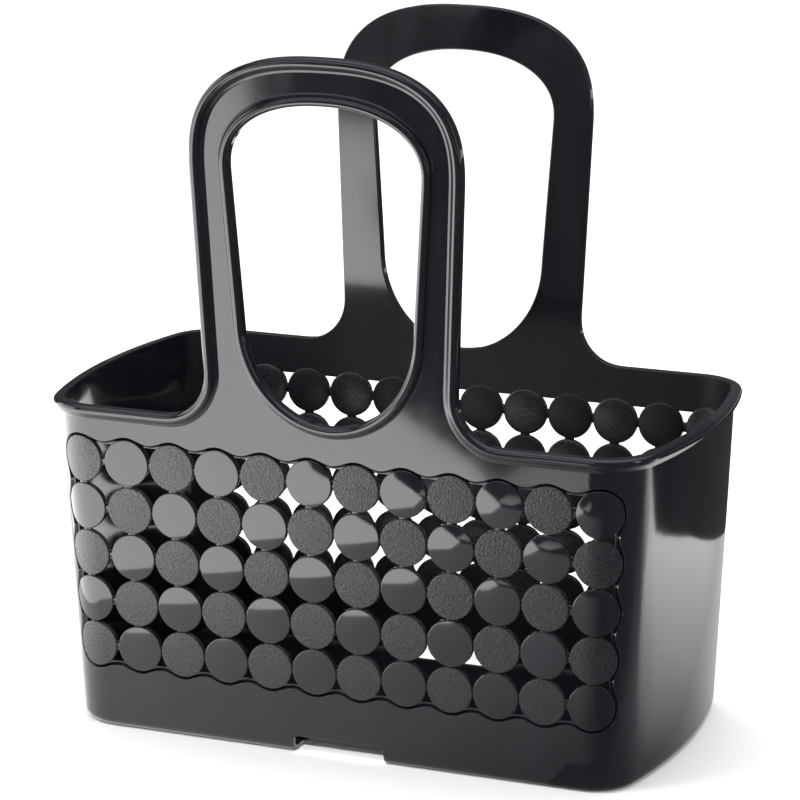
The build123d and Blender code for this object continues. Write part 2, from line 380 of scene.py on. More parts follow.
# %% [markdown]
# ## Node trees as plain sums
# Finishes, the sky and the disc lattice are node trees. Here a node's output can be added and
# multiplied like a number, and each sum makes the node that does it, so that a tree reads as a
# formula.

# %% A node's output as a number, and a tree in the making
class Value:
    """A node's output that can be used in sums like a number."""

    def __init__(self, nodes, socket):
        self.nodes, self.socket = nodes, socket

    def __add__(self, other):
        return self.nodes.maths("ADD", self, other)

    def __sub__(self, other):
        return self.nodes.maths("SUBTRACT", self, other)

    def __rsub__(self, other):
        return self.nodes.maths("SUBTRACT", other, self)

    def __mul__(self, other):
        return self.nodes.maths("MULTIPLY", self, other)

    def __truediv__(self, other):
        return self.nodes.maths("DIVIDE", self, other)

    __radd__, __rmul__ = __add__, __mul__


class Nodes:
    """A node tree in the making."""

    def __init__(self, tree):
        self.tree = tree

    def node(self, kind, settings=None, sockets=None, out=0):
        """Any node: its settings first, then the values or links of its sockets."""
        made = self.tree.nodes.new(kind if "Node" in kind else "ShaderNode" + kind)
        for name, value in (settings or {}).items():
            setattr(made, name, value)
        for key, value in (sockets or {}).items():
            self.feed(made.inputs[key], value)
        return Value(self, made.outputs[out])

    def feed(self, socket, value):
        if isinstance(value, Value):
            self.tree.links.new(value.socket, socket)
        else:
            socket.default_value = value

    def maths(self, operation, first, second=0.0):
        return self.node("Math", {"operation": operation}, {0: first, 1: second})

    def part(self, vector, axis):
        return self.node("SeparateXYZ", {}, {0: vector}, out=axis)

    def band(self, value, low, high, to_low=0.0, to_high=1.0):
        """A value spread from one range to another, and held at its ends."""
        return self.node("MapRange", {"clamp": True, "interpolation_type": "SMOOTHSTEP"},
                         {0: value, 1: low, 2: high, 3: to_low, 4: to_high})


print("node trees can be written as sums")

# %% [markdown]
# ## The camera and the studio
# The camera stands in front, a little to the right and a little above, and looks with a long
# lens. Black gloss shows almost nothing of its own, only what stands round it, so the studio is
# the finish: a pale floor, a sky that is bright overhead, and cards that lie on the floor or stand
# round the caddy for the walls to mirror. Some cards glow, and others keep a wall black. All of
# them are seen in reflections alone.

# %% Camera
camera_turn, camera_rise, camera_roll = radians(22.59), radians(14.68), radians(-0.2525)
camera_distance = 1.6187
look_at = Vector((0.00054, 0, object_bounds()[1].z * 0.4666))
back = Vector((
    sin(camera_turn) * cos(camera_rise), -cos(camera_turn) * cos(camera_rise), sin(camera_rise)
))
camera = bpy.data.objects.new("camera", bpy.data.cameras.new("camera"))
bpy.context.collection.objects.link(camera)
camera.data.sensor_width = 36
camera.data.lens = 159.2
level = (-back).to_track_quat("-Z", "Y").to_matrix()
camera.matrix_world = (
    Matrix.Translation(look_at + back * camera_distance)
    @ (level @ Matrix.Rotation(camera_roll, 3, "Z")).to_4x4()
)
bpy.context.scene.camera = camera
print("camera at", [round(x, 3) for x in camera.matrix_world.translation])


# %% Cards, floor and lamps
def glowing_finish(name, tint):
    """A finish that glows as brightly as the card's own corners say."""
    finish = bpy.data.materials.new(name)
    finish.use_nodes = True
    nodes = Nodes(finish.node_tree)
    nodes.tree.nodes.remove(nodes.tree.nodes["Principled BSDF"])
    glow = nodes.node("Attribute", {"attribute_name": "glow"}, out="Fac")
    light = nodes.node("Emission", {}, {"Color": (*tint, 1), "Strength": glow})
    nodes.feed(nodes.tree.nodes["Material Output"].inputs["Surface"], light)
    return finish


def stage_sheet(name, corners, finish, glows=None):
    """A flat sheet of the studio, not part of the object. One that glows is only mirrored."""
    mesh = bpy.data.meshes.new(name)
    mesh.from_pydata(corners, [], [tuple(range(len(corners)))])
    mesh.materials.append(finish)
    made = bpy.data.objects.new(name, mesh)
    bpy.context.collection.objects.link(made)
    if glows is not None:
        mesh.attributes.new("glow", "FLOAT", "POINT").data.foreach_set("value", glows)
        for sight in ("camera", "diffuse", "shadow", "transmission"):
            setattr(made, "visible_" + sight, False)


card = glowing_finish("card", (0.97, 0.98, 1.0))
layer_gap = 0.0003


def floor_card(name, layer, *corners):
    """A card on the floor: its corners as x, y and how brightly it glows there, in metres."""
    places = [(x, y, layer * layer_gap) for x, y, _ in corners]
    stage_sheet(name, places, card, [glow for _, _, glow in corners])


floor_reach, floor_grey = 6.0, 0.9
pale_floor = bpy.data.materials.new("pale_floor")
pale_floor.use_nodes = True
floor_shader = pale_floor.node_tree.nodes["Principled BSDF"]
floor_shader.inputs["Base Color"].default_value = (floor_grey, floor_grey, floor_grey, 1)
floor_shader.inputs["Specular IOR Level"].default_value = 0
stage_sheet("studio_floor", [(-floor_reach, -floor_reach, 0), (floor_reach, -floor_reach, 0),
                             (floor_reach, floor_reach, 0), (-floor_reach, floor_reach, 0)], pale_floor)

dark, dim, half_lit, lit = 0.05, 0.11, 2.3, 4.5
floor_card("dark_front", 1, (-2.5, -3.4, dim), (3.2, -3.4, dim), (3.2, 0.0, dim),
           (0.16, -0.05, dim), (-2.5, -0.05, dim))
floor_card("near_left", 2, (-0.40, -0.03, 2.4), (-0.05, -0.03, 0.95), (-0.02, -0.40, 0.85),
           (-0.25, -0.40, 2.4))
floor_card("near_right", 2, (-0.05, -0.03, 0.95), (0.13, -0.03, 0.10), (0.22, -0.40, dim),
           (-0.02, -0.40, 0.85))
floor_card("bright_left", 3, (-0.095, -0.475, lit), (-0.045, -0.41, lit), (-0.05, -0.34, lit),
           (-0.195, -0.21, lit), (-0.30, -0.06, lit), (-0.55, 0.25, lit), (-2.4, 0.4, lit),
           (-2.4, -1.9, lit), (-0.80, -1.9, lit), (-0.63, -1.32, lit), (-0.22, -0.60, lit))
floor_card("half_lit_patch", 3, (-0.065, -0.44, half_lit), (-0.015, -0.43, half_lit),
           (0.03, -0.53, half_lit / 3), (-0.06, -0.55, half_lit / 3))


def floor_cloth(name, layer, *rows_of_corners):
    """Cards on the floor that join up: each row of corners is joined to the next row."""
    for row, (near, far) in enumerate(zip(rows_of_corners, rows_of_corners[1:])):
        for i in range(len(near) - 1):
            floor_card(f"{name}_{row}_{i}", layer, near[i], near[i + 1], far[i + 1], far[i])


corner_near, corner_far = (0.325, 0.075, 0.8), (0.352, 0.195, 3.2)
beside_foot = ((0.15, -0.03, 0.25), (0.24, 0.0, 0.5), (0.42, -0.02, 0.12), (0.66, -0.05, dim))
floor_cloth("end_near", 3,
            ((0.05, -0.03, 0.25), *beside_foot[:2], corner_near),
            ((0.05, 0.12, 0.5), (0.17, 0.11, 0.7), (0.245, 0.10, 1.7), (0.338, 0.135, 2.4)),
            ((0.05, 0.345, 0.6), (0.15, 0.31, 0.75), (0.265, 0.262, 1.9), corner_far))
floor_cloth("end_beside", 3,
            beside_foot[1:],
            (corner_near, (0.46, 0.10, 0.3), (0.66, 0.14, 0.15)),
            (corner_far, (0.43, 0.25, 2.2), (0.56, 0.34, 1.6)))
floor_cloth("end_front", 3,
            ((0.10, -0.10, dim), (0.15, -0.10, dim), (0.24, -0.10, dim), (0.42, -0.12, dim),
             (0.66, -0.15, dim)),
            ((0.10, -0.03, 0.2), *beside_foot))
floor_card("end_far", 2, *[(x, y, dark) for x, y in (
    (0.62, -0.10), (3.2, -0.10), (2.0, 2.6), (0.05, 2.6), (0.05, 0.30), (0.30, 0.10))])


def wall_card(name, turn, distance, half_width, low, high, glow):
    """A card that stands upright round the caddy, facing it."""
    facing = Vector((sin(turn), -cos(turn), 0))
    along = Vector((cos(turn), sin(turn), 0)) * half_width
    middle = facing * distance
    corners = [middle + along * side + Vector((0, 0, up)) for side, up in
               ((-1, low), (1, low), (1, high), (-1, high))]
    stage_sheet(name, corners, card, [glow] * len(corners))


wall_card("left_card", radians(-75), 1.5, 0.7, 0.0, 1.1, 2.6)
wall_card("right_card", radians(80), 1.7, 0.16, 0.25, 1.3, 2.2)
wall_card("front_card", radians(-22), 1.9, 0.6, 0.85, 1.35, 2.2)


def lamp(name, place, aim, size, power):
    """A soft rectangular lamp that points at a place on the object."""
    light = bpy.data.lights.new(name, "AREA")
    light.shape = "RECTANGLE"
    light.size, light.size_y = size
    light.energy = power
    made = bpy.data.objects.new(name, light)
    made.visible_glossy = False
    bpy.context.collection.objects.link(made)
    turn = (Vector(aim) - Vector(place)).to_track_quat("-Z", "Y").to_matrix().to_4x4()
    made.matrix_world = Matrix.Translation(place) @ turn


lamp("key_lamp", (-1.3, -1.1, 1.9), (0, 0, 0.15), (1.0, 1.0), 34)
lamp("side_lamp", (1.9, -0.9, 0.9), (0.1, 0, 0.15), (0.4, 1.2), 8)
lamp("top_lamp", (0, 0.7, 2.2), (0, 0, 0.1), (1.6, 0.8), 30)

# %% The sky: white to look at, dark and soft when it is mirrored
world = bpy.data.worlds.new("studio")
bpy.context.scene.world = world
world.use_nodes = True
sky = Nodes(world.node_tree)
seen_sky = sky.tree.nodes["Background"]
seen_sky.inputs["Color"].default_value = (1, 1, 1, 1)
height = sky.part(sky.node("TexCoord", out="Generated"), "Z")
strength = sky.band(height, 0.55, 1.0, 0.10, 1.2)
mirrored_sky = sky.node("Background", {}, {"Color": (0.90, 0.94, 1.0, 1), "Strength": strength})
mirrored = sky.node("LightPath", out="Is Glossy Ray")
choice = sky.node("MixShader", {}, {0: mirrored, 1: Value(sky, seen_sky.outputs[0]), 2: mirrored_sky})
sky.feed(sky.tree.nodes["World Output"].inputs[0], choice)
bpy.context.scene.view_settings.view_transform = "Standard"
print("studio ready")

# %% [markdown]
# ## Finishes
# The plastic is one black, moulded against three kinds of steel: polished for the walls and
# loops, polished and slightly domed for half of the discs, and etched with a fine grain for the
# others. Polished plastic is never quite even. It has a soft ripple, faint flow streaks, a haze of
# tiny scratches and a little dust, and each of these changes how sharply it mirrors.

# %% A finish in the making
class Finish(Nodes):
    """A material whose shader values are sums of textures."""

    def __init__(self, name, **shader_values):
        self.material = bpy.data.materials.new(name)
        self.material.use_nodes = True
        super().__init__(self.material.node_tree)
        self.shade(**shader_values)
        self.place = self.node("TexCoord", out="Object")

    def shade(self, **sockets):
        for name, value in sockets.items():
            shader = self.tree.nodes["Principled BSDF"]
            self.feed(shader.inputs[name.replace("_", " ")], value)
        return self.material

    def stretched(self, scale):
        """The object's own coordinates, scaled along each axis."""
        return self.node("Mapping", {"vector_type": "POINT"}, {"Vector": self.place, "Scale": scale})

    def noise(self, scale, detail=2.0, rough=0.5, vector=None):
        sockets = {"Vector": vector or self.place, "Scale": scale, "Detail": detail, "Roughness": rough}
        return self.node("TexNoise", {}, sockets)

    def cells(self, scale, settings=None, **sockets):
        sockets = {"Vector": self.place, "Scale": scale, **sockets}
        return self.node("TexVoronoi", settings, sockets, out="Distance")

    def shades(self, share, black, times):
        """A black that is a few times lighter where the share is 1."""
        lighter = [part * times for part in black]
        return self.mix_color(share, (*black, 1), (*lighter, 1))

    def mix_color(self, share, first, second):
        return self.node("Mix", {"data_type": "RGBA"}, {0: share, 6: first, 7: second}, out=2)

    def bump(self, height, distance, strength=1.0, **below):
        sockets = {"Height": height, "Distance": distance, "Strength": strength, **below}
        return self.node("Bump", {}, sockets)


# %% Polished black
def inside_of_tub(finish):
    """1 on the walls' inner faces, 0 on the outer faces and on the loops."""
    facing = finish.node("NewGeometry", out="Normal")
    outward = finish.part(finish.place, "Y") * finish.part(facing, "Y")
    loops_begin, tub_ends = 0.190, 0.160
    low = finish.band(finish.part(finish.place, "Z"), loops_begin, tub_ends)
    return finish.band(outward, -0.004, -0.03) * low


def polished(name, ripple, haze, black):
    """Glossy moulded black: ripple of the mould, flow streaks, tiny scratches and dust."""
    finish = Finish(name, IOR=1.5, Coat_Roughness=0.05, Coat_IOR=1.5)
    wander = finish.noise(14.0, 3.0)
    streaks = finish.noise(1.0, 4.0, 0.6, finish.stretched((60.0, 60.0, 9.0)))
    dust = finish.band(finish.cells(420.0), 0.05, 0.0)
    scratched = finish.noise(1.0, 6.0, 0.7, finish.stretched((900.0, 900.0, 70.0)))
    scratches = finish.band(scratched, 0.62, 0.72)
    inner = inside_of_tub(finish)
    roughness = haze + 0.03 * finish.band(wander, 0.35, 0.7) + 0.02 * finish.band(streaks, 0.4, 0.7)
    roughness = roughness + 0.05 * scratches + 0.15 * dust + 0.30 * inner
    color = finish.shades(finish.band(streaks, 0.3, 0.75), black, 1.7)
    color = finish.mix_color(0.35 * dust, color, (0.09, 0.09, 0.095, 1))
    soft = finish.bump(finish.noise(55.0, 1.0), 0.0006, ripple)
    fine = finish.bump(finish.noise(1400.0, 2.0), 0.000012, 0.5, Normal=soft)
    coat = 0.45 - 0.3 * dust - 0.44 * inner
    return finish.shade(Base_Color=color, Roughness=roughness, Coat_Weight=coat, Normal=fine)


gloss_shell = polished("polished_shell", ripple=0.10, haze=0.06, black=(0.0045, 0.0049, 0.0066))
gloss_disc = polished("polished_disc", ripple=0.03, haze=0.05, black=(0.0048, 0.0053, 0.0070))


# %% Etched grain
def grained(name, black):
    """Fine leather grain: shallow cells with soft ridges, and a dull, even sheen."""
    finish = Finish(name, IOR=1.6)
    cells = finish.cells(1150.0, {"feature": "SMOOTH_F1"}, Smoothness=0.4)
    pebble = finish.noise(1300.0, 2.0, 0.6)
    height = (0.7 * pebble + 0.6 * cells) * (1.0 - inside_of_tub(finish))
    wear = finish.band(finish.noise(120.0, 3.0), 0.5, 0.75)
    color = finish.shades(finish.band(pebble, 0.35, 0.7), black, 2.2)
    roughness = 0.25 + 0.10 * finish.band(pebble, 0.3, 0.7) - 0.05 * wear
    return finish.shade(Base_Color=color, Roughness=roughness, Normal=finish.bump(height, 0.00024))


grained_disc = grained("etched_disc", black=(0.007, 0.0075, 0.0095))

# %% [markdown]
# ## Outlines on the wall
# Every edge of the caddy is a line drawn on the flat pattern. One line runs along the rim, turns up
# a flare into the leg of a loop and goes over its arch. A second goes round the hand opening. A
# third is the wavy edge of the lattice window, which follows the outermost discs. Only the right
# half is drawn, because the caddy is the same on its left.

# %% The line along the rim and over a loop
leg_half_width, arch_half_width = 60.0, strap_high[0]
flare_radius, arch_depth, arch_fullness = 20.0, 50.0, 2.6
flare_centre = np.array([leg_half_width + flare_radius, rim_up + flare_radius])
to_arch = np.array([arch_half_width, loop_up - arch_depth]) - flare_centre
leg_turn = np.degrees(atan2(to_arch[1], to_arch[0]) + acos(flare_radius / np.linalg.norm(to_arch)))
loop_foot = rim_up + 9.0


def on_middle(points, directions):
    """Directions at the middle line have no part along the wall, so that halves meet evenly."""
    middle = np.abs(points[:, 0]) < 1e-6
    directions[middle, 0] = 0
    return unit(directions)


line_spacing, line_rounds = 1.5, 4
outer_line = soften(evenly(np.concatenate([
    [(border(rim_up), rim_up), (flare_centre[0], rim_up)],
    arc(flare_centre, flare_radius, 270, leg_turn),
    super_arc(arch_half_width, arch_depth, arch_fullness) + (0, loop_up - arch_depth),
]), line_spacing), line_rounds)
outer_inward = on_middle(outer_line, across(outer_line, 1))
outer_inward[outer_line[:, 1] < rim_up + 1e-9] = (0, -1)

# %% The line round a hand opening
opening_foot, opening_foot_half, opening_foot_rise = rim_up + 1.7, 40.5, 44.6
opening_top, opening_top_half, opening_top_rise = loop_up - 20.9, 45.3, 28.7
opening_fullness = 2.23
quarter = np.radians(np.linspace(0, 90, 60))
opening_line = soften(evenly(np.concatenate([
    np.stack([opening_foot_half * np.sin(quarter),
              opening_foot + opening_foot_rise * (1 - np.cos(quarter))], axis=1),
    super_arc(opening_top_half, opening_top_rise, opening_fullness)
    + (0, opening_top - opening_top_rise),
]), line_spacing), line_rounds)
opening_inward = on_middle(opening_line, across(opening_line, -1))

# %% The disc lattice and the window's edges
columns, rows = 12, 5
disc_pitch, lattice_taper, disc_gap, end_shift = 22.5, 0.9915, 0.6, 0.9
window_drop = 14.35
top_row = rim_height - window_drop - disc_pitch / 2
last_column, last_row = columns - 1, rows - 1
window_reach, window_wave, ledge_reach = 10.5, 1.5, 7.6


def disc_place(row, column):
    """A disc's centre on the flat pattern. Rows and columns may be fractions."""
    shrink = lattice_taper ** np.asarray(row, float)
    end = np.clip(column - (last_column - 1), 0, 1) * end_shift
    along = (column - last_column / 2) * disc_pitch * shrink + end
    up = top_row - disc_pitch * (1 + lattice_taper) / 2 * (1 - shrink) / (1 - lattice_taper)
    return np.stack(np.broadcast_arrays(along, up), axis=-1)


def window_line(reach, wave, spacing, rounds):
    """The right half of a line round the window, at a distance from the outermost discs."""
    across_columns = np.linspace(last_column / 2, last_column, 120)
    down_rows = np.linspace(0, last_row, 90)
    column_reach = (reach + wave * np.cos(2 * pi * across_columns))[:, None]
    row_reach = (reach + wave * np.cos(2 * pi * down_rows))[:, None]
    far = reach + wave
    return soften(evenly(np.concatenate([
        disc_place(0, across_columns) + (0, 1) * column_reach,
        arc(disc_place(0, last_column), far, 90, 0),
        disc_place(down_rows, last_column) + (1, 0) * row_reach,
        arc(disc_place(last_row, last_column), far, 0, -90),
        disc_place(last_row, across_columns[::-1]) - (0, 1) * column_reach[::-1],
    ]), spacing), rounds)


window_edge = window_line(window_reach, window_wave, 1.0, 4)
window_inward = on_middle(window_edge, across(window_edge, 1))
ledge_edge = window_line(ledge_reach, 0, 1.5, 3)
ledge_inward = on_middle(ledge_edge, across(ledge_edge, 1))
print("lines:", [len(line) for line in (outer_line, opening_line, window_edge, ledge_edge)], "points")


# %% Cut a line where a loop begins
def part_at(line, inward, up):
    """Parts a line at a height, into what comes before and after it along the line."""
    above = line[:, 1] > up
    if above[0]:
        after, before = part_at(line[::-1], inward[::-1], up)
        return tuple(x[::-1] for x in before), tuple(x[::-1] for x in after)
    at = int(np.argmax(above))
    share = (up - line[at - 1, 1]) / (line[at, 1] - line[at - 1, 1])
    point = line[at - 1] + share * (line[at] - line[at - 1])
    turn = unit(inward[at - 1] + share * (inward[at] - inward[at - 1]))
    before = np.vstack([line[:at], point]), np.vstack([inward[:at], turn])
    after = np.vstack([point, line[at:]]), np.vstack([turn, inward[at:]])
    return before, after


rim_part, arch_part = part_at(outer_line, outer_inward, loop_foot)
opening_low, opening_high = part_at(opening_line, opening_inward, loop_foot)

# %% [markdown]
# ## Edges
# Each edge is a short row of points across it. The rounds are small, 0.3 to 1.6 mm, but they are
# what catches the light: without them a black moulding looks like cut paper. A bead is one such
# row that stands proud of the wall, with a small hollow where it runs into the wall.

# %% Edge profiles: across, out, and the way they face
edge_round, back_edge_round, ledge_depth, ledge_round = 0.4, 0.7, 1.6, 0.3
tuck = 0.1
bead_round, rim_hollow, opening_hollow = 2.0, 2.6, 1.4
flank_reach, flank_turn, flank_foot = 0.85, 148.0, 0.25


def both_edges(radius, top, steps):
    """The two rounded edges of a plate, from its top at one depth to its inner face."""
    return (rounded((radius, top - radius), radius, 90, 180, steps)
            + rounded((radius, radius - wall), radius, 180, 270, steps))


plate_edge = (rounded((tuck, -tuck), tuck, 90, 180, 1)
              + rounded((back_edge_round, back_edge_round - wall), back_edge_round, 180, 270, 4))
window_profile = (rounded((edge_round, -edge_round), edge_round, 90, flank_turn, 4)
                  + rounded((-flank_reach - 0.2, flank_foot - ledge_depth), flank_foot,
                            flank_turn - 180, -90, 2, -1))
ledge_profile = both_edges(ledge_round, -ledge_depth, 2)
notch_profile = both_edges(edge_round, 0, 3)


def bead_section(hollow_radius):
    """A round bead that runs into the wall in a hollow, two arcs that touch on its inner flank."""
    reach = bead_round + hollow_radius
    lift = reach - bead_proud
    apart = sqrt(reach**2 - lift**2)
    meet = np.degrees(atan2(lift, apart))
    crown = bead_proud - bead_round
    middle = bead_width - bead_round
    return ([(0, -tuck, -1, 0)]
            + rounded((bead_round, crown), bead_round, 180, 90, 7)
            + rounded((middle, crown), bead_round, 90, meet, 7)
            + rounded((middle + apart, hollow_radius), hollow_radius, 180 + meet, 270, 7, -1)[1:]
            + [(middle + apart, -tuck, 0, 1), (0, -tuck, -1, 0)])


rim_section, opening_section = bead_section(rim_hollow), bead_section(opening_hollow)
print("bead rows:", len(rim_section), "reach of the rim's hollow:", round(rim_section[-3][0], 2), "mm")


# %% Beads
def bead(line, inward, section, end_caps, axis=0):
    """Half a bead along a flat line, closed where it meets the next piece, and its mirror image."""
    piece = Moulding()
    points, facing = lay_strip(piece, line, inward, section)
    for end, wanted in zip((0, -1), end_caps):
        if wanted:
            piece.cap(points[:-1, end], facing[:-1, end])
    piece.mirror(axis)
    return piece


rim_along = np.linspace(float(half_outline(rim_up)), float(border(rim_up)), 60)[:-1]
rim_line = np.vstack([level_line(rim_along, rim_up), rim_part[0]])
rim_inward = np.vstack([np.tile([0.0, -1.0], (len(rim_along), 1)), rim_part[1]])
right_rim_bead = bead(rim_line, rim_inward, rim_section, (False, True), axis=1)
edge_bead = bead(*arch_part, rim_section, (True, False))
opening_bead = bead(*opening_low, opening_section, (False, True))
handle_opening_bead = bead(*opening_high, opening_section, (True, False))
print("beads drawn")

# %% [markdown]
# ## The foot
# The caddy stands on a flat ring. Outside, the wall turns into it with a generous round; inside,
# it turns up into the wall again with a smaller one. The floor panel is raised a little off the
# shelf, so that water drains away under it.

# %% The foot's section, swept round the base
foot_up = foot_round / cos(draft)
inner_round, lip_round = foot_round - wall, 0.3


def foot_section():
    """Rows of height, distance in from the outline, and the way they face: out and up."""
    turns = [(cos(a), sin(a)) for a in np.radians(np.linspace(0, 90, 6))]
    outer = [(foot_round * (1 - y), foot_round * (1 - x), x, -y) for x, y in turns]
    lip = [(lip_round * (1 - x), foot_width - lip_round * (1 - y), -y, -x) for x, y in turns[::2]]
    inner = [(wall + inner_round * (1 - y), wall + inner_round * (1 - x), -x, y)
             for x, y in turns[::-1]]
    return outer + lip + [(wall, foot_width, 0, 1)] + inner


def foot_strip(along_at):
    """The foot's rows over columns that are given by how far along the wall they are."""
    points, facing = [], []
    section = foot_section()
    for height, inset, face_out, face_up in section[1:-1]:
        up = height / cos(draft)
        along = along_at(up)
        east = wall_point(along + STEP, up) - wall_point(along - STEP, up)
        outward = unit(np.cross(east, (0, 0, 1)))
        points.append(wall_point(along, up) - inset * outward)
        facing.append(unit(face_out * outward + np.array([0, 0, face_up])))
    for place, out, side in ((0, 0, 1), (len(section) - 1, -wall, -1)):
        laid = lay_places(level_line(along_at(foot_up), foot_up), out, (0, 0, side))
        points.insert(place, laid[0])
        facing.insert(place, laid[1])
    return np.stack(points), np.stack(facing)


# %% [markdown]
# ## The end walls
# An end wall is one closed section, drawn from the foot up the outside, over the rim and down the
# inside, and swept round the end. Half of it is drawn and mirrored.

# %% Sweep the end wall's section
end_columns = 40
share = np.linspace(0, 1, end_columns) ** 0.8
end_ups = np.linspace(foot_up, rim_up, 18)


def end_along(up):
    return border(up) + share * (half_outline(up) - border(up))


right_end_wall = Moulding()
end_rows, end_facing = [], []
for up, out, face_up, face_out in (
    [(up, 0, 0, 1) for up in end_ups]
    + [(rim_up - offset, out, -face_in, face_out) for offset, out, face_in, face_out in plate_edge]
    + [(up, -wall, 0, -1) for up in end_ups[-2::-1]]
):
    points, faces = lay_places(level_line(end_along(up), up), out, (0, face_up, face_out))
    end_rows.append(points)
    end_facing.append(faces)
foot_points, foot_facing = foot_strip(end_along)
end_rows += list(foot_points[::-1])
end_facing += list(foot_facing[::-1])
right_end_wall.strips(np.stack(end_rows), np.stack(end_facing))
right_end_wall.cap(np.stack(end_rows)[:-1, 0], np.stack(end_facing)[:-1, 0])
right_end_wall.mirror(1)
print("end wall drawn")

# %% [markdown]
# ## The side walls
# A side wall is a plate with a lattice window in it. Its outer skin stops at the wavy edge of the
# window; behind that edge a thin ledge goes on to where the inner skin stops. At its foot there is
# a notch that lets water out. The two skins and the ledge are filled with triangles, and strips
# join them round every edge.

# %% The drain notch and the foot below it
notch_half, notch_height, notch_round = 22.0, 8.0, 3.0
notch_line = evenly(np.concatenate([
    [(0, notch_height)],
    arc((notch_half - notch_round, notch_height - notch_round), notch_round, 90, 0),
    [(notch_half, foot_up)],
]), 0.8)
notch_inward = on_middle(notch_line, across(notch_line, 1))
notch_inward[-1] = (1, 0)
foot_share = np.linspace(0, 1, 80)


def front_along(up):
    first = notch_half + edge_round
    return first + foot_share * (border(up) - first)


front_wall = Moulding()
foot_points, foot_facing = foot_strip(front_along)
ends = []
for angle in np.radians([30, 60, 90]):
    shift = np.array([-edge_round * sin(angle), 0, 0])
    ends.insert(0, (foot_points[:, 0] + shift - foot_facing[:, 0] * edge_round * (1 - cos(angle)),
                    unit(foot_facing[:, 0] * cos(angle) + np.array([-sin(angle), 0, 0]))))
foot_points = np.concatenate([np.stack([p for p, _ in ends], axis=1), foot_points], axis=1)
foot_facing = np.concatenate([np.stack([f for _, f in ends], axis=1), foot_facing], axis=1)
front_wall.strips(foot_points, foot_facing)
front_wall.cap(foot_points[:, 0], foot_facing[:, 0])

# %% Every edge of the wall, and the lines that its skins fill
def plate_edges(piece, line, inward, profile):
    """An edge of the plate; returns its strip, its line on the outer and on the inner skin."""
    strip = lay_strip(piece, line, inward, profile)
    return strip, line + inward * profile[0][0], line + inward * profile[-1][0]


rim_strip, rim_outer, rim_inner = plate_edges(front_wall, *rim_part, plate_edge)
low_strip, low_outer, low_inner = plate_edges(front_wall, *opening_low, plate_edge)
_, notch_outer, notch_inner = plate_edges(front_wall, notch_line, notch_inward, notch_profile)
_, window_outer, window_floor = plate_edges(front_wall, window_edge, window_inward, window_profile)
_, ledge_floor, ledge_inner = plate_edges(front_wall, ledge_edge, ledge_inward, ledge_profile)

border_ups = np.linspace(foot_up, rim_up, 24)[1:-1]
border_line = np.stack([border(border_ups), border_ups], axis=1)
foot_line = level_line(front_along(foot_up), foot_up)


def cut_line(start, end):
    """The line across a leg where the loop's own pieces begin."""
    return np.linspace(start, end, 16)[1:-1]


cut_outer, cut_inner = cut_line(rim_outer[-1], low_outer[-1]), cut_line(rim_inner[-1], low_inner[-1])
outer_loop = np.concatenate([notch_outer, foot_line[1:], border_line, rim_outer, cut_outer,
                             low_outer[::-1], window_outer])
inner_loop = np.concatenate([notch_inner, foot_line[1:], border_line, rim_inner, cut_inner,
                             low_inner[::-1], ledge_inner])
lay_skin(front_wall, [outer_loop], 0.0, 1)
lay_skin(front_wall, [inner_loop], -wall, -1)
lay_skin(front_wall, [np.concatenate([window_floor, ledge_floor[::-1]])], -ledge_depth, 1)


# %% Close the wall where it meets the end walls and the loop
def outside(line):
    return lay_places(line, 0, (0, 0, 1))


def inside_face(line):
    return lay_places(line, -wall, (0, 0, -1))


def cap_from(piece, parts):
    piece.cap(np.concatenate([p for p, _ in parts]), np.concatenate([f for _, f in parts]))


cap_from(front_wall, [
    outside(border_line),
    (rim_strip[0][:, 0], rim_strip[1][:, 0]),
    inside_face(border_line[::-1]),
    (foot_points[::-1, -1], foot_facing[::-1, -1]),
])


def leg_cap(piece, outer_strip, inner_strip, column_a, column_b):
    cap_from(piece, [
        (outer_strip[0][::-1, column_a], outer_strip[1][::-1, column_a]),
        outside(cut_outer),
        (inner_strip[0][:, column_b], inner_strip[1][:, column_b]),
        inside_face(cut_inner[::-1]),
    ])


leg_cap(front_wall, rim_strip, low_strip, -1, -1)
front_wall.mirror(0)
print("side wall drawn")

# %% [markdown]
# ## The hand loops
# A loop is the same plate carried on upwards as a strap, with a bead along each of its edges. It
# bends when both loops are squeezed together, so its skins are divided finely where it bends.

# %% The strap
handle_strap = Moulding()
arch_strip, arch_outer, arch_inner = plate_edges(handle_strap, *arch_part, plate_edge)
high_strip, high_outer, high_inner = plate_edges(handle_strap, *opening_high, plate_edge)
strap_spacing = (3.0, 3.0)
lay_skin(handle_strap, [np.concatenate([arch_outer, high_outer[::-1], cut_outer[::-1]])],
         0.0, 1, strap_spacing)
lay_skin(handle_strap, [np.concatenate([arch_inner, high_inner[::-1], cut_inner[::-1]])],
         -wall, -1, strap_spacing)
leg_cap(handle_strap, arch_strip, high_strip, 0, 0)
handle_strap.mirror(0)
print("strap drawn")

# %% [markdown]
# ## The floor
# The floor is a flat panel inside the foot, with three rows of drain holes. It is filled like a
# wall, but lies flat.

# %% Floor panel with drain holes
floor_low_z, floor_top_z = floor_low[2], floor_high[2]
drain_radius, drain_pitch, drain_round = 3.5, 32.0, 0.4
drain_places = [(x * drain_pitch, y * drain_pitch) for x in range(-3, 4) for y in (-1, 0, 1)]


def circle(centre, radius, count=40):
    return arc(centre, radius, 0, 360 - 360 / count, count)


def floor_outline(inset):
    """The base's outline, moved in: a quarter of it, mirrored twice."""
    along = np.linspace(0, float(half_outline(0.0)), 90)
    east = wall_point(along + STEP, 0 * along) - wall_point(along - STEP, 0 * along)
    outward = unit(np.cross(east, (0, 0, 1)))
    quarter_line = (wall_point(along, 0 * along) - inset * outward)[:, :2]
    half = np.concatenate([quarter_line, (quarter_line * (1, -1))[-2::-1]])
    return np.concatenate([half, (half * (-1, 1))[-2:0:-1]])


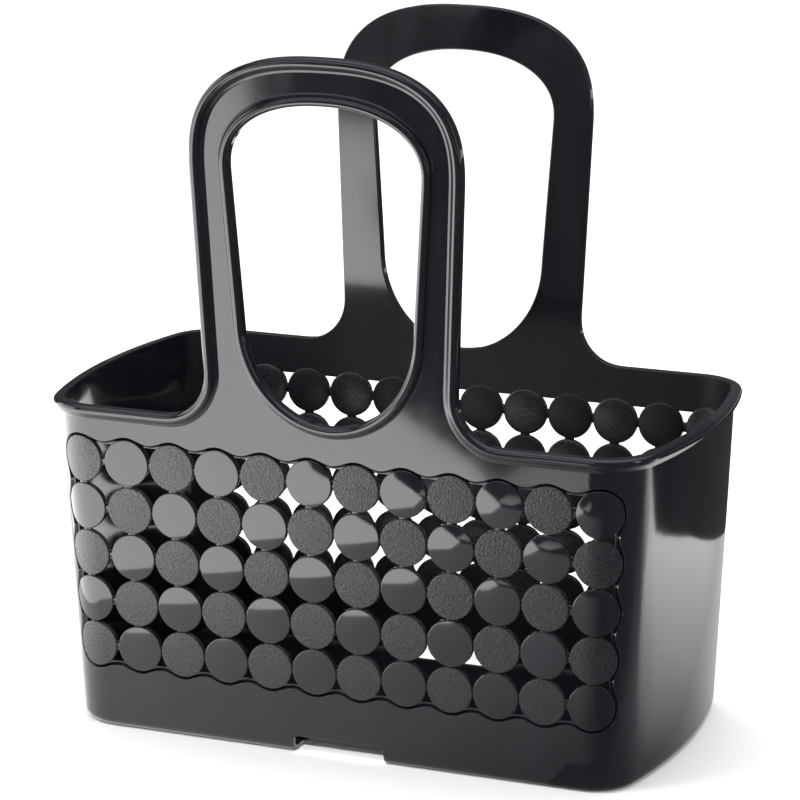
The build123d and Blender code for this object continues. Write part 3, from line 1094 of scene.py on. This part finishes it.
def floor_skin(piece, hole_radius, inset, height, side):
    loops = [floor_outline(inset)] + [circle(place, hole_radius) for place in drain_places]
    places, triangles = fill(loops, (14.0, 14.0))
    points = np.column_stack([places, np.full(len(places), height)])
    piece.add(points, np.tile([0.0, 0.0, float(side)], (len(places), 1)),
              [tuple(triangle) for triangle in triangles])


def ring_strip(piece, lines, outward):
    """Strips between closed lines: each is a flat line, its height, and how far it faces out."""
    points = [np.column_stack([line, np.full(len(line), z)]) for line, z, _, _ in lines]
    facing = [unit(np.column_stack([outward * out, np.full(len(line), up)]))
              for line, _, out, up in lines]
    points, facing = np.stack(points), np.stack(facing)
    piece.strips(np.concatenate([points, points[:, :1]], axis=1),
                 np.concatenate([facing, facing[:, :1]], axis=1))


floor_pan = Moulding()
floor_skin(floor_pan, drain_radius + drain_round, foot_width + drain_round, floor_top_z, 1)
floor_skin(floor_pan, drain_radius + drain_round, foot_width + drain_round, floor_low_z, -1)
turns = np.radians([90, 60, 30, 0])
edge_rows = [
    (drain_round * (1 - cos(a)), level - side * drain_round * (1 - sin(a)), cos(a), side * sin(a))
    for level, side, order in ((floor_top_z, 1, turns), (floor_low_z, -1, turns[::-1]))
    for a in order
]
floor_out = unit(floor_outline(foot_width) - floor_outline(foot_width + 1))
ring_strip(floor_pan, [(floor_outline(foot_width + back), z, out, up) for back, z, out, up in edge_rows],
           floor_out)
for place in drain_places:
    ring_strip(floor_pan, [(circle(place, drain_radius + back), z, -out, up)
                           for back, z, out, up in edge_rows], circle((0, 0), 1))
print("floor drawn")

# %% [markdown]
# ## The disc lattice
# Sixty discs fill each window, twelve to a row, and every other one is grained. Each row is a
# little closer than the one above, because the wall narrows downwards. A node tree sets out the
# lattice from its pitch, taper and gap, puts one drawn disc on each place of its kind, and
# does the same for the small links between neighbours. The flat result is then laid on the wall,
# so that the outermost discs follow the wall round the corner.

# %% One disc and one link, as stacks of closed outlines
disc_thickness, disc_round, back_round, back_crown, disc_sides = 3.0, 0.45, 0.9, 0.7, 40
link_waist, link_flare, link_reach = 4.4, 6.4, 4.4
link_top, link_thickness, link_soft = -0.7, 1.6, 0.25


def stack_mesh(name, outlines, tips=()):
    """Closed outlines joined one below the other, with a tip above and below or flat ends."""
    count, stacked = len(outlines[0]), len(outlines) * len(outlines[0])
    turn = [(i, (i + 1) % count) for i in range(count)]
    faces = [(a + i, a + count + i, a + count + j, a + j)
             for a in range(0, stacked - count, count) for i, j in turn]
    last = stacked - count
    if tips:
        faces += [(stacked, i, j) for i, j in turn]
        faces += [(last + i, stacked + 1, last + j) for i, j in turn]
    else:
        faces += [tuple(range(count)), tuple(range(last, stacked))[::-1]]
    mesh = bpy.data.meshes.new(name)
    mesh.from_pydata([place for outline in outlines for place in outline] + list(tips), [], faces)
    mesh.shade_smooth()
    return mesh


def disc_mesh(name, crown):
    """One disc at the origin, facing up: crowned face, rounded edge and a domed back."""
    radius = (disc_pitch - disc_gap) / 2
    face, back = radius - disc_round, radius - back_round
    profile = [(face * f, crown * (1 - f**2)) for f in (0.2, 0.4, 0.6, 0.78, 0.92, 0.985)]
    edges = (rounded((face, -disc_round), disc_round, 90, 0)
             + rounded((back, back_round - disc_thickness), back_round, 0, -90))
    profile += [(reach, height) for reach, height, _, _ in edges]
    profile += [(back * f, -disc_thickness - back_crown * (1 - f**2)) for f in (0.7, 0.35)]
    turns = [2 * pi * i / disc_sides for i in range(disc_sides)]
    outlines = [[(reach * cos(a), reach * sin(a), height) for a in turns] for reach, height in profile]
    return stack_mesh(name, outlines, [(0, 0, crown), (0, 0, -disc_thickness - back_crown)])


def link_mesh(name):
    """One link: a waisted bridge, narrow in its middle, with softened edges."""
    line = [(x, -(link_waist + (link_flare - link_waist) * (2 * x / link_reach) ** 2) / 2)
            for x in np.linspace(-link_reach / 2, link_reach / 2, 5)]
    line += [(x, -y) for x, y in line[::-1]]
    base = link_top - link_thickness
    levels = ((link_top, link_soft), (link_top - link_soft, 0), (base + link_soft, 0), (base, link_soft))
    return stack_mesh(name, [[(x, y - np.sign(y) * shrink, height) for x, y in line]
                             for height, shrink in levels])


# %% The node tree that sets out the lattice
class Lattice(Nodes):
    """A geometry node tree: named sizes in, one drawn piece on every place out."""

    sockets = {"Columns": "Int", "Rows": "Int", "Pitch": "Float", "Taper": "Float",
               "End Shift": "Float", "Half Steps Along": "Float", "Half Steps Down": "Float",
               "Turn": "Float", "Kinds": "Int", "Kind": "Int", "Piece": "Object"}

    def __init__(self, name, finish):
        super().__init__(bpy.data.node_groups.new(name, "GeometryNodeTree"))
        face = self.tree.interface
        for way in ("INPUT", "OUTPUT"):
            face.new_socket("Geometry", in_out=way, socket_type="NodeSocketGeometry")
        self.sizes = {label: face.new_socket(label, in_out="INPUT", socket_type="NodeSocket" + kind)
                      for label, kind in self.sockets.items()}
        given = self.tree.nodes.new("NodeGroupInput")
        self.draw({label: Value(self, given.outputs[label]) for label in self.sizes}, finish)

    def compare(self, operation, first, second):
        settings = {"data_type": "FLOAT", "operation": operation}
        return self.node("FunctionNodeCompare", settings, {0: first, 1: second})

    def either(self, first, second):
        return self.node("FunctionNodeBooleanMath", {"operation": "OR"}, {0: first, 1: second})

    def draw(self, given, finish):
        """From a point's number to its row and column, and from those to its place."""
        index = self.node("GeometryNodeInputIndex")
        row = self.maths("FLOOR", (index + 0.5) / given["Columns"])
        column = index - row * given["Columns"]
        last = given["Columns"] - 1.0
        half = last / 2.0
        down = row + given["Half Steps Down"] * 0.5
        over = column + given["Half Steps Along"] * 0.5
        shrink = self.maths("POWER", given["Taper"], down)
        from_middle = over - half
        past = self.maths("MAXIMUM", self.maths("ABSOLUTE", from_middle) - (half - 1.0))
        shift = past * given["End Shift"] * self.maths("SIGN", from_middle)
        along = from_middle * given["Pitch"] * shrink + shift
        steps = (1.0 - shrink) / (1.0 - given["Taper"])
        up = steps * ((given["Taper"] + 1.0) / 2.0) * given["Pitch"] * -1.0
        place = self.node("CombineXYZ", {}, {0: along, 1: up})
        points = self.node("GeometryNodePoints", {},
                           {"Count": given["Columns"] * given["Rows"], "Position": place})
        kind = self.maths("FLOORED_MODULO", row + column, given["Kinds"])
        past_end = self.compare("GREATER_THAN", over, last + 0.1)
        below_last = self.compare("GREATER_THAN", down, given["Rows"] - 0.9)
        unwanted = self.either(self.compare("NOT_EQUAL", kind, given["Kind"]),
                               self.either(past_end, below_last))
        kept = self.node("GeometryNodeDeleteGeometry", {"domain": "POINT"},
                         {"Geometry": points, "Selection": unwanted})
        drawn = self.node("GeometryNodeObjectInfo", {}, {"Object": given["Piece"]}, out="Geometry")
        turn = self.node("CombineXYZ", {}, {2: given["Turn"]})
        size = self.node("CombineXYZ", {}, {0: shrink, 1: shrink, 2: 1.0})
        placed = self.node("GeometryNodeInstanceOnPoints", {}, {
            "Points": kept, "Instance": drawn, "Rotation": turn, "Scale": size})
        whole = self.node("GeometryNodeRealizeInstances", {}, {"Geometry": placed})
        finished = self.node("GeometryNodeSetMaterial", {}, {"Geometry": whole, "Material": finish})
        self.feed(self.tree.nodes.new("NodeGroupOutput").inputs[0], finished)


def set_out(name, mesh, finish, **changes):
    """Runs the lattice tree for one drawn piece and returns the flat mesh."""
    drawn = bpy.data.objects.new(name + "_drawn", mesh)
    bpy.context.collection.objects.link(drawn)
    carrier = bpy.data.objects.new(name + "_carrier", bpy.data.meshes.new(name + "_carrier"))
    bpy.context.collection.objects.link(carrier)
    lattice = Lattice(name + "_lattice", finish)
    modifier = carrier.modifiers.new("lattice", "NODES")
    modifier.node_group = lattice.tree
    sizes = {"Columns": columns, "Rows": rows, "Pitch": disc_pitch, "Taper": lattice_taper,
             "End Shift": end_shift, "Half Steps Along": 0.0, "Half Steps Down": 0.0, "Turn": 0.0,
             "Kinds": 1, "Kind": 0, "Piece": drawn}
    sizes.update(changes)
    for label, value in sizes.items():
        modifier[lattice.sizes[label].identifier] = value
    bpy.context.view_layer.update()
    flat = bpy.data.meshes.new_from_object(carrier.evaluated_get(bpy.context.evaluated_depsgraph_get()))
    carrier.modifiers.remove(modifier)
    bpy.data.objects.remove(carrier)
    bpy.data.objects.remove(drawn)
    print(name, "flat mesh:", len(flat.vertices), "points")
    return flat


def add_flat(piece, flat):
    """Lays a flat mesh, set out from the middle of the top row, on the wall."""
    count = len(flat.vertices)
    points, facing = np.empty(count * 3), np.empty(count * 3)
    flat.vertices.foreach_get("co", points)
    flat.vertex_normals.foreach_get("vector", facing)
    points = points.reshape(-1, 3) + (0, top_row, 0)
    piece.add(*lay_on_wall(points, facing.reshape(-1, 3)), [tuple(face.vertices) for face in flat.polygons])


# %% Lay the discs and links on the front wall
crowned, plain, link = disc_mesh("crowned_disc", 0.42), disc_mesh("plain_disc", 0.12), link_mesh("link")
grained_discs, gloss_discs, disc_links = Moulding(), Moulding(), Moulding()
add_flat(grained_discs, set_out("grained", plain, grained_disc, Kinds=2, Kind=0))
add_flat(gloss_discs, set_out("gloss", crowned, gloss_disc, Kinds=2, Kind=1))
add_flat(disc_links, set_out("side_links", link, gloss_shell, **{"Half Steps Along": 1.0}))
add_flat(disc_links, set_out("row_links", link, gloss_shell, **{"Half Steps Down": 1.0, "Turn": pi / 2}))

# %% [markdown]
# ## Put the pieces on the frame
# Each drawn piece stands for the CAD node of the same name. The rear ones are the front ones
# turned half a turn. What belongs to the tub rides on it; what belongs to a loop is built and
# its place is baked into its mesh.

# %% Build, and let the tub's pieces ride on the tub
both_ends = {"end_wall": right_end_wall, "rim_bead": right_rim_bead}
both_sides = {
    "wall": (front_wall, gloss_shell), "opening_bead": (opening_bead, gloss_shell),
    "gloss_discs": (gloss_discs, gloss_disc), "grained_discs": (grained_discs, grained_disc),
    "disc_links": (disc_links, gloss_shell),
}
loop_pieces = {"strap": handle_strap, "edge_bead": edge_bead, "opening_bead": handle_opening_bead}


def stand_for(piece, node):
    """Hides the CAD node that the piece stands for."""
    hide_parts(node)
    return piece


def tub_piece(drawing, name, finish):
    piece = stand_for(drawing.build("moulded_" + name, finish), name)
    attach(piece, "tub")


tub_piece(floor_pan, "floor_pan", gloss_shell)
for name, drawing in both_ends.items():
    tub_piece(drawing, "right_" + name, gloss_shell)
    tub_piece(drawing.turned(), "left_" + name, gloss_shell)
for name, (drawing, finish) in both_sides.items():
    tub_piece(drawing, "front_" + name, finish)
    tub_piece(drawing.turned(), "rear_" + name, finish)

for side, sign in (("front", -1), ("rear", 1)):
    for name, drawing in loop_pieces.items():
        node = f"{side}_handle_{name}"
        drawing = drawing if side == "front" else drawing.turned()
        piece = stand_for(drawing.build("moulded_" + node, gloss_shell), node)
        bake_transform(piece)
